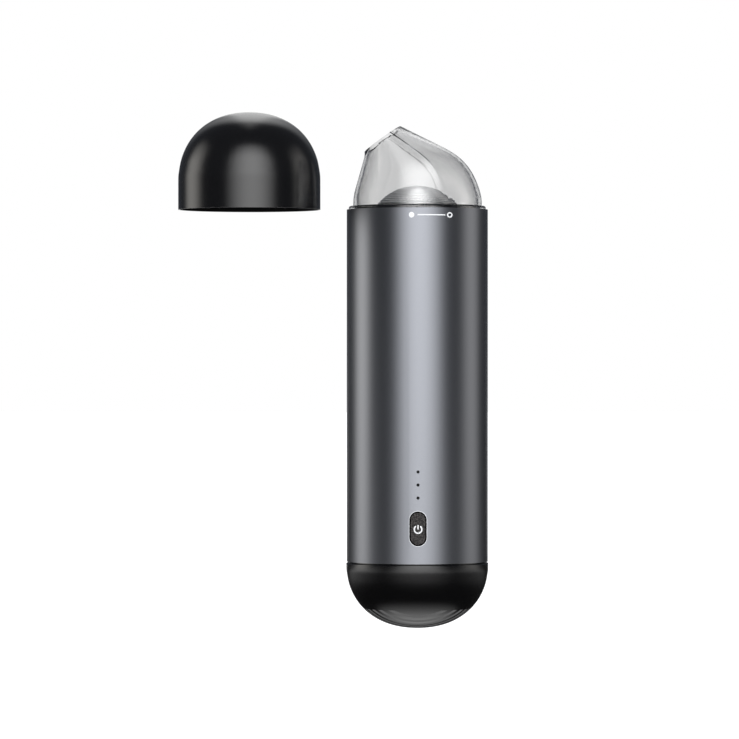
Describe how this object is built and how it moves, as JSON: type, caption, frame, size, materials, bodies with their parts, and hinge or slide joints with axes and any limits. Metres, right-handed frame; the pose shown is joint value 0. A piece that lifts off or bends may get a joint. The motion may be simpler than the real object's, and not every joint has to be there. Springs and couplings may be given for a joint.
{
  "type": "cordless vacuum cleaner",
  "caption": "Capsule-shaped handheld vacuum: grey aluminium tube, vented black tail, clear slanted nozzle cup, lift-off black dome cap, power button and charge lights.",
  "frame": {"origin": "middle of the aluminium tube, on its axis, which is the centre of the grip", "axes": "+Z along the tube to the nozzle, the power button faces -Y, the cap taken off stands to -X"},
  "size_m": [0.1472, 0.0674, 0.2448],
  "materials": {
    "anodised_aluminium": "anodised satin, space grey",
    "gloss_black_abs": "moulded gloss black",
    "black_abs": "moulded, fine texture",
    "clear_polycarbonate": "clear, slightly smoky",
    "silicone": "soft black",
    "filter_mesh_steel": "fine woven mesh",
    "filter_paper": "pleated filter medium",
    "open_foam": "open-cell foam",
    "steel": "plated",
    "lamination_steel": "stamped sheets",
    "ferrite": "sintered ferrite",
    "copper": "enamelled copper",
    "sintered_bronze": "oil-filled bronze",
    "carbon": "pressed carbon",
    "cell_sleeve": "steel can in shrink sleeve",
    "nickel": "nickel strip",
    "circuit_board": "solder mask",
    "light_guide_plastic": "clear, frosted",
    "textured_button": "fine spark texture",
    "wire_insulation": "PVC insulation",
    "white_ink": "printed white, satin",
    "cut_aluminium": "bare metal where an edge is cut, bright"
  },
  "bodies": {
    "main": {"body_tube": "anodised_aluminium", "tail_cap": "gloss_black_abs", "exhaust_filter": "open_foam", "seat_collar": "black_abs", "collar_screws": "steel", "fan_housing": "black_abs", "intake_gasket": "silicone", "diffuser": "black_abs", "motor_screws": "steel", "motor_can": "steel", "motor_magnets": "ferrite", "shaft_bushings": "sintered_bronze", "motor_end_bell": "black_abs", "motor_brushes": "carbon", "motor_mount": "silicone", "chassis_front": "black_abs", "chassis_rear": "black_abs", "chassis_screws": "steel", "cell_holder_lower": "black_abs", "cell_holder_upper": "black_abs", "battery_cells": "cell_sleeve", "nickel_strips": "nickel", "button_bezel": "black_abs", "control_board": "circuit_board", "board_screws": "steel", "switch_body": "black_abs", "indicator_leds": "light_guide_plastic", "light_guide": "light_guide_plastic", "wire_sockets": "black_abs", "usb_socket": "steel", "charging_board": "circuit_board", "motor_leads": "wire_insulation", "charge_leads": "wire_insulation"},
    "filter": {"filter_frame": "black_abs", "filter_dome": "filter_mesh_steel", "filter_pleats": "filter_paper", "filter_seal": "silicone"},
    "cup": {"dust_cup": "clear_polycarbonate", "cup_seal": "silicone"},
    "cap": {"cap": "gloss_black_abs"},
    "button": {"power_button": "textured_button", "switch_plunger": "black_abs"},
    "rotor": {"motor_shaft": "steel", "armature_core": "lamination_steel", "armature_windings": "copper", "commutator": "copper", "impeller": "black_abs", "impeller_nut": "steel"}
  },
  "joints": [
    {"name": "cap_lift", "type": "slide", "parent": "main", "child": "cap", "axis": [0.5602, 0, 0.8284], "range_m": [0, 0.1425]},
    {"name": "cup_pull", "type": "slide", "parent": "main", "child": "filter", "axis": [0, 0, 1], "range_m": [0, 0.06]},
    {"name": "cup_twist", "type": "hinge", "parent": "filter", "child": "cup", "pos_m": [0, 0, 0.0836], "axis": [0, 0, 1], "range_deg": [-31.5, 0]},
    {"name": "button_press", "type": "slide", "parent": "main", "child": "button", "axis": [0, 1, 0], "range_m": [0, 0.0005], "stiffness_N_per_m": 1200, "springref_m": -0.0005},
    {"name": "rotor_spin", "type": "hinge", "parent": "main", "child": "rotor", "pos_m": [0, 0, 0.0315], "axis": [0, 0, 1], "continuous": true}
  ]
}
